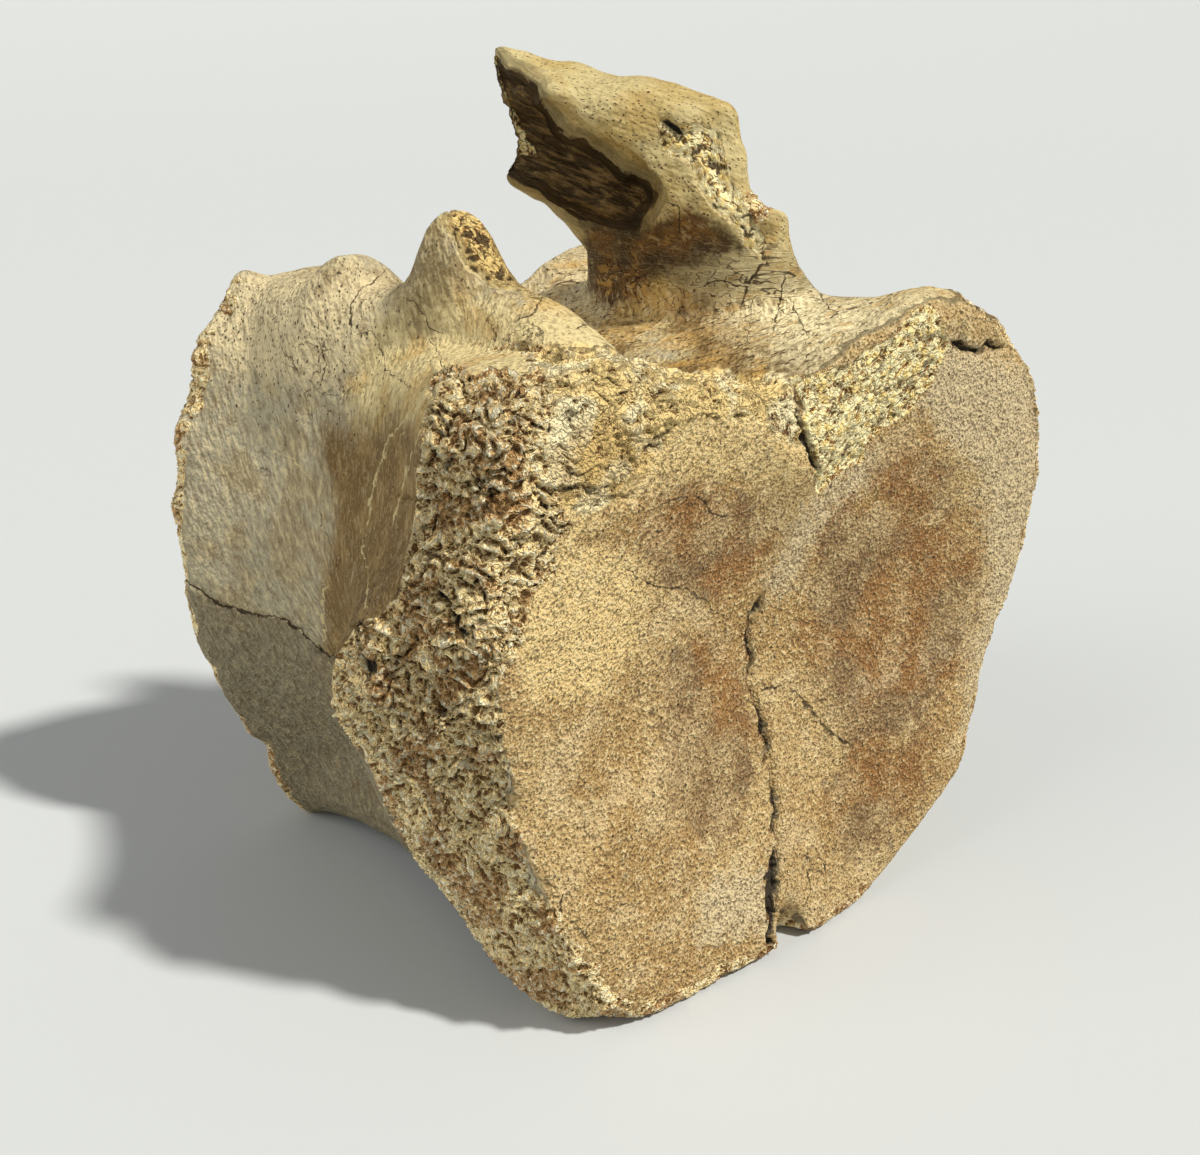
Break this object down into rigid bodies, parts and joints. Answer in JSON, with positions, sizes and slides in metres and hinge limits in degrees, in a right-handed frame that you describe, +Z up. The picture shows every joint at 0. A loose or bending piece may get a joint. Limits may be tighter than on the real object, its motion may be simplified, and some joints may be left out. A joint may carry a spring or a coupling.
{
  "type": "fossil dinosaur vertebra",
  "caption": "Life-size fossil back vertebra of a hadrosaur: heart-shaped spool body with a worn rim, open canal above it and a broken arch fragment on one side.",
  "frame": {"origin": "middle of the bottom of the bone's bounding box, on the floor it stands on", "axes": "+Z up, the tallest way; -Y the way the heart-shaped front joint face looks, and Y the shortest way; +X the bone's right-hand side as seen from the front"},
  "size_m": [0.1408, 0.1014, 0.1513],
  "materials": {
    "bone": "dull, chalky, mineral-stained fossil bone"
  },
  "bodies": {
    "root": {"vertebra": "bone"}
  },
  "joints": []
}
